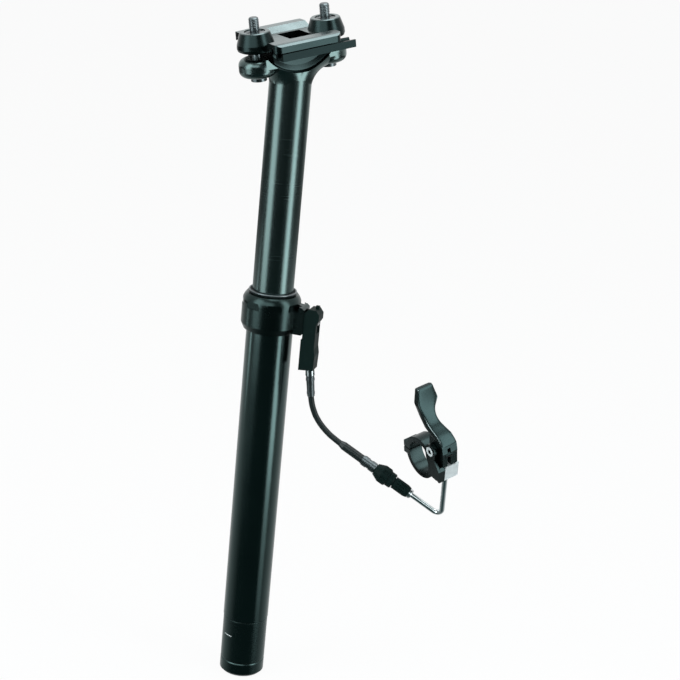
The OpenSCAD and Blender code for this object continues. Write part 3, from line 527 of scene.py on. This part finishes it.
# Dashed line at the insertion height: height, half thickness, place and reach round the cap, and dashes
LINE_Z, LINE_HALF = -160.5, 0.45
LINE_BEARING, LINE_REACH = math.radians(-172), math.radians(17)
CAP_R = 15.2
DASH_PITCH, DASH_SHARE = 1.6, 0.62
LINE_WHITE = (0.72, 0.75, 0.75)


def cap_coating():
    """The end cap's coating, with a short dashed line printed at the insertion height."""
    finish = satin_coating("cap_coating", (0.06, 0.092, 0.09), 0.28)
    bearing = finish.node(
        "ShaderNodeMath", {"operation": "ARCTAN2"}, {0: finish.axis("Y"), 1: finish.axis("X")}
    )
    on_line = abs(finish.axis("Z") - LINE_Z * MM) < LINE_HALF * MM
    in_reach = abs(bearing - LINE_BEARING) < LINE_REACH
    on_dash = (bearing * (CAP_R / DASH_PITCH)).fraction() < DASH_SHARE
    printed = on_line * in_reach * on_dash
    finish.set("Base Color", finish.blend(printed, finish.colour_so_far(), LINE_WHITE))
    finish.set("Metallic", 1 - printed)
    return finish


def anodised_post():
    """Gloss black anodising, with the fine rings that polishing leaves round the post."""
    base, roughness = (0.129, 0.18, 0.174), 0.26
    finish = Finish("anodised_post", base, roughness, metallic=1.0)
    rings = finish.noise(1, detail=5, stretch=(3, 3, 2600))
    cloud = finish.noise(30, detail=3)
    finish.set("Base Color", finish.blend(cloud, tinted(base, 0.9), tinted(base, 1.1)))
    finish.set("Roughness", rings * 0.06 + cloud * 0.06 + (roughness - 0.06))
    finish.relief(rings, depth=0.005, strength=0.1)
    return finish


def blasted_alloy(name, base, roughness, metallic):
    """Bead-blasted alloy: a fine matte grain with darker handling marks."""
    finish = Finish(name, base, roughness, metallic=metallic)
    grain = finish.noise(2400, detail=2)
    marks = finish.ramp(finish.noise(60, detail=6, roughness=0.65), 0.45, 0.72)
    finish.set("Base Color", finish.blend(marks, tinted(base, 0.88), tinted(base, 1.1)))
    finish.set("Roughness", grain * 0.12 + marks * 0.06 + (roughness - 0.09))
    finish.relief(grain, depth=0.03, strength=0.35)
    return finish


def clamp_alloy():
    """The rail clamp: pale alloy on faces that point up along the head and near black on its sides, a
    painted highlight from the light above and painted shade on the sides.
    """
    pale, black = (0.26, 0.315, 0.32), (0.028, 0.043, 0.043)
    finish = blasted_alloy("clamp_alloy", pale, 0.29, metallic=1.0)
    # Painted light: faces that point up along the head get the pale colour as a painted highlight, and the
    # sides get near black as painted shade
    lit_top_share = finish.ramp(finish.facing(own_z(head_to_world)), 0.45, 0.85)
    finish.set("Base Color", finish.blend(lit_top_share, black, finish.colour_so_far()))
    return finish


def turned_metal(name, base, roughness, stretch=(1, 1, 1)):
    """Plated or bare metal with fine tool lines."""
    finish = Finish(name, base, roughness, metallic=1.0)
    lines = finish.noise(600, detail=4, stretch=stretch)
    stain = finish.ramp(finish.noise(90, detail=4), 0.35, 0.75)
    finish.set("Base Color", finish.blend(stain, tinted(base, 0.86), tinted(base, 1.1)))
    finish.set("Roughness", lines * 0.1 + stain * 0.06 + (roughness - 0.08))
    finish.relief(lines, depth=0.01, strength=0.25)
    return finish


# Pivot bolt's plated face: its height in the remote's frame, and how far down the plating reaches
PIVOT_FACE, PLATING_DEPTH = 7.8, 0.3
SILVER = (0.80, 0.84, 0.85)


def pivot_plating():
    """Pale plating on the face of the pivot bolt's head, with its socket and shank left dark."""
    finish = blasted_alloy("pivot_plating", SILVER, 0.4, metallic=0.35)
    axis = own_z(remote_to_world)
    plating_end = remote_to_world @ Vector((0, 0, PIVOT_FACE - PLATING_DEPTH))
    plated = finish.along(finish.place, axis) > axis.dot(plating_end)
    finish.set("Base Color", finish.blend(plated, (0.02, 0.03, 0.03), finish.colour_so_far()))
    return finish


def moulded_plastic(name, base, roughness):
    """Moulded black plastic with a fine spark-eroded grain and paler rubbed places."""
    finish = Finish(name, base, roughness, Specular_IOR_Level=0.08)
    grain = finish.noise(1500, detail=3)
    rubbed = finish.ramp(finish.noise(90, detail=7, roughness=0.7), 0.55, 0.78)
    finish.set("Base Color", finish.blend(rubbed * 0.5, tinted(base, 0.8), tinted(base, 2.2)))
    finish.set("Roughness", grain * 0.16 + rubbed * -0.12 + roughness)
    finish.relief(grain, depth=0.07, strength=0.5)
    return finish


def gloss_lever():
    """The lever's gloss black, with hairline scratches and a painted highlight: a pale band on the bevels
    beside the thumb face.
    """
    base, edge_highlight_colour, roughness = (0.036, 0.057, 0.057), (0.42, 0.5, 0.5), 0.28
    finish = Finish("gloss_lever", base, roughness, metallic=1.0)
    hair = finish.ramp(finish.noise(300, detail=6, stretch=(1, 8, 1)), 0.62, 0.8)
    cloud = finish.noise(80, detail=4)
    sideways = abs(finish.facing(own_z(remote_to_world)))
    # Bevels that face partly sideways get the pale colour: a painted highlight along the lever's edges
    edge = (sideways > 0.4) * (sideways < 0.9)
    scratched = finish.blend(hair * 0.4, tinted(base, 0.95), tinted(base, 1.6))
    finish.set("Base Color", finish.blend(edge, scratched, edge_highlight_colour))
    finish.set("Roughness", cloud * 0.08 + hair * 0.12 + (roughness - 0.06))
    finish.relief(hair, depth=0.01, strength=0.25)
    return finish


def cable_jacket_plastic():
    """Extruded jacket: smooth, with slight waviness and scuffs."""
    base, roughness = (0.011, 0.017, 0.017), 0.3
    finish = Finish("cable_jacket_plastic", base, roughness)
    wave = finish.noise(180, detail=3)
    scuff = finish.ramp(finish.noise(420, detail=6), 0.6, 0.75)
    finish.set("Base Color", finish.blend(scuff * 0.5, base, tinted(base, 2.4)))
    finish.set("Roughness", wave * 0.14 + scuff * 0.2 + (roughness - 0.06))
    finish.relief(wave, depth=0.08, strength=0.4)
    return finish


def seal_rubber():
    """Oiled seal rubber with a faint dusty bloom."""
    base, roughness = (0.009, 0.014, 0.014), 0.3
    finish = Finish("seal_rubber", base, roughness)
    bloom = finish.noise(200, detail=6, roughness=0.7)
    finish.set("Base Color", finish.blend(bloom, tinted(base, 0.6), tinted(base, 2.0)))
    finish.set("Roughness", bloom * 0.2 + (roughness - 0.12))
    finish.relief(bloom, depth=0.03, strength=0.3)
    return finish


# Finishes by slot, with those of the end cap, the collar and the pivot bolt
finishes = {
    "tube_black": satin_coating("tube_coating", (0.072, 0.108, 0.105), 0.22),
    "cap_black": cap_coating(),
    "collar_black": satin_coating("collar_coating", (0.042, 0.064, 0.062), 0.26),
    "post_black": anodised_post(),
    "cradle_black": satin_coating("cradle_coating", (0.011, 0.0175, 0.0175), 0.26),
    "clamp_grey": clamp_alloy(),
    "black_plastic": moulded_plastic("black_plastic", (0.005, 0.0155, 0.014), 0.38),
    "remote_black": satin_coating("remote_coating", (0.032, 0.047, 0.047), 0.28),
    "lever_black": gloss_lever(),
    "rubber": seal_rubber(),
    "cable_black": cable_jacket_plastic(),
    "crimp_metal": turned_metal("crimp_metal", (0.22, 0.25, 0.26), 0.35, stretch=(1, 1, 6)),
    "bright_ring": turned_metal("bright_ring", (0.72, 0.76, 0.77), 0.22, stretch=(1, 1, 6)),
    "pipe_steel": turned_metal("pipe_steel", (0.84, 0.9, 0.91), 0.18),
    "silver_stop": blasted_alloy("silver_stop", SILVER, 0.4, metallic=0.35),
    "pivot_plating": pivot_plating(),
    "bolt_steel": turned_metal("bolt_steel", (0.2, 0.23, 0.24), 0.34, stretch=(1, 1, 5)),
    "plain_steel": turned_metal("plain_steel", (0.5, 0.52, 0.53), 0.32),
    "bronze": turned_metal("bronze", (0.55, 0.38, 0.15), 0.35),
    "cartridge_alloy": turned_metal("cartridge_alloy", (0.35, 0.38, 0.39), 0.34),
}


def paint(finish, *pieces):
    """Gives pieces a finish, by the finish's name."""
    for piece in pieces:
        piece.data.materials.clear()
        piece.data.materials.append(finishes[finish].material)


# Every node gets its slot's finish, and then some nodes and the pieces made here get another
for part in frame["record"]["subparts"]:
    paint(part["material_slot"], nodes[part["node"]])
paint("cap_black", nodes["bottom_cap"])
paint("collar_black", nodes["collar"])
paint("pivot_plating", nodes["pivot_bolt"])
# The lever's nipple is painted near black as painted shade in the lever's fork slot
paint("cradle_black", nodes["lever_nipple"])
paint("cable_black", cord)
paint("bolt_steel", *stud_threads)
paint("remote_black", *cradle_cheeks)
paint("crimp_metal", wiper_bead)
paint("bright_ring", pipe_ring)
paint("lever_black", lever_skin)

# Stage, in metres: reflections show a white backdrop behind the post and a dim room before it
BACKDROP_WAY = level_way(CAMERA_HEADING)
WHITE = (1, 1, 1)

# Floor: its colours, how white the camera sees it, and how far off reflections of it go dim and white
FLOOR_Z = cad_box[0][2] - 0.5 * MM
FLOOR_HALF = 6
FLOOR_PALE, FLOOR_DIM = (0.86, 0.87, 0.87), (0.004, 0.009, 0.009)
FLOOR_WHITENESS = 0.94
DIM_FROM, DIM_TO = 0.9, 1.3
BACKDROP_FROM, BACKDROP_TO = 1.0, 2.4

# World: its fill on the part, and its sweep from dim to white in reflections
ROOM_FILL, ROOM_FILL_STRENGTH = (0.9, 0.98, 1.0), 0.3
ROOM_DIM = (0.022, 0.046, 0.046)
SWEEP_WAY = (BACKDROP_WAY + Vector((0, 0, 0.25))).normalized()
SWEEP_FROM, SWEEP_TO = -0.55, 1.15


class StageShader(NodeMaker):
    """The nodes of the floor or the world: white to the camera, and white in reflections of the backdrop."""

    def __init__(self, tree, output):
        super().__init__(tree)
        tree.nodes.clear()
        self.surface = tree.nodes.new(output).inputs["Surface"]

    def light(self, kind, colour, **values):
        """A shader of one colour."""
        return self.node(kind, inputs={"Color": (*colour, 1), **values})

    def ray(self, name):
        """1 for one kind of ray and 0 for the others."""
        return self.node("ShaderNodeLightPath", output=name)

    def mix(self, factor, first, second):
        """Mixes two shaders."""
        return self.node("ShaderNodeMixShader", inputs={0: factor, 1: first, 2: second})

    def spread(self, measure, start, end):
        """Goes from 0 to 1 as a measure goes from start to end."""
        return self.node("ShaderNodeMapRange", inputs={"Value": measure, "From Min": start, "From Max": end})

    def show(self, lit, white, mirrored, whiteness):
        """Sets what the camera, reflections and all other rays see."""
        plain = self.mix(self.ray("Is Camera Ray") * whiteness, lit, white)
        seen = self.mix(self.ray("Is Glossy Ray"), plain, mirrored)
        clear = self.mix(self.ray("Is Transmission Ray"), seen, white)
        self.tree.links.new(clear.socket, self.surface)


def make_floor():
    """The floor: in reflections, clear near the post, dim further off and white towards the backdrop."""
    form = bmesh.new()
    level = Matrix.Translation((0, 0, FLOOR_Z))
    bmesh.ops.create_grid(form, x_segments=1, y_segments=1, size=FLOOR_HALF, matrix=level)
    mesh = bpy.data.meshes.new("floor")
    form.to_mesh(mesh)
    form.free()
    floor = bpy.data.objects.new("floor", mesh)
    scene.collection.objects.link(floor)
    material = bpy.data.materials.new("floor_white")
    material.use_nodes = True
    mesh.materials.append(material)
    shader = StageShader(material.node_tree, "ShaderNodeOutputMaterial")
    lit = shader.light("ShaderNodeBsdfDiffuse", FLOOR_PALE)
    white = shader.light("ShaderNodeEmission", WHITE)
    clear = shader.light("ShaderNodeBsdfTransparent", WHITE)
    dim = shader.light("ShaderNodeEmission", FLOOR_DIM)
    place = shader.coordinate("Object")
    distance = shader.node("ShaderNodeVectorMath", {"operation": "LENGTH"}, {0: place}, output="Value")
    room = shader.mix(shader.spread(distance, DIM_FROM, DIM_TO), clear, dim)
    backdrop = shader.spread(shader.along(place, BACKDROP_WAY), BACKDROP_FROM, BACKDROP_TO)
    shader.show(lit, white, shader.mix(backdrop, room, white), FLOOR_WHITENESS)


def make_world():
    """The world: a faint fill, and in reflections a sweep from the dim room to the white backdrop."""
    world = bpy.data.worlds.new("studio")
    scene.world = world
    world.use_nodes = True
    shader = StageShader(world.node_tree, "ShaderNodeOutputWorld")
    fill = shader.light("ShaderNodeBackground", ROOM_FILL, Strength=ROOM_FILL_STRENGTH)
    white = shader.light("ShaderNodeBackground", WHITE)
    dim = shader.light("ShaderNodeBackground", ROOM_DIM)
    backdrop = shader.spread(shader.along(shader.coordinate("Generated"), SWEEP_WAY), SWEEP_FROM, SWEEP_TO)
    shader.show(fill, white, shader.mix(backdrop, dim, white), 1.0)


# Upright soft lights that face the post's axis: degrees round the post to the camera's left, height and
# distance, width and height of the light, and watts
LIGHT_COLOUR = (0.9, 0.985, 1.0)
SOFT_LIGHTS = [
    ("left_softbox", 55, 0.45, 0.9, 0.5, 1.3, 5.2),
    ("left_rim", 97, -0.22, 0.9, 0.15, 0.12, 0.16),
    ("right_strip", -63, 0.35, 0.9, 0.36, 1.5, 5.7),
    ("right_strip_end", -63, -0.5, 0.9, 0.36, 0.2, 0.15),
    ("wide_fill", 15, 0.9, 1.5, 1.4, 1.0, 6.6),
]
TOP_PLACE = Vector((0.1, -0.1, 1.5))
TOP_SIDE = 1.2
TOP_WATTS = 11.7


def add_light(name, place, way, width, tall, watts):
    """An area light that shines along a way and that the camera doesn't see."""
    data = bpy.data.lights.new(name, "AREA")
    data.shape = "RECTANGLE"
    data.size = width
    data.size_y = tall
    data.energy = watts
    data.color = LIGHT_COLOUR
    light = bpy.data.objects.new(name, data)
    light.location = place
    light.rotation_euler = way.to_track_quat("-Z", "Y").to_euler()
    light.visible_camera = False
    scene.collection.objects.link(light)


make_floor()
make_world()
for name, turn, height, distance, width, tall, watts in SOFT_LIGHTS:
    way = level_way(CAMERA_HEADING + math.pi + math.radians(turn))
    add_light(name, way * distance + Vector((0, 0, height)), -way, width, tall, watts)
add_light("top_softbox", TOP_PLACE, Vector((0, 0, -1)), TOP_SIDE, TOP_SIDE, TOP_WATTS)

scene.view_settings.view_transform = "Standard"
bpy.context.view_layer.update()
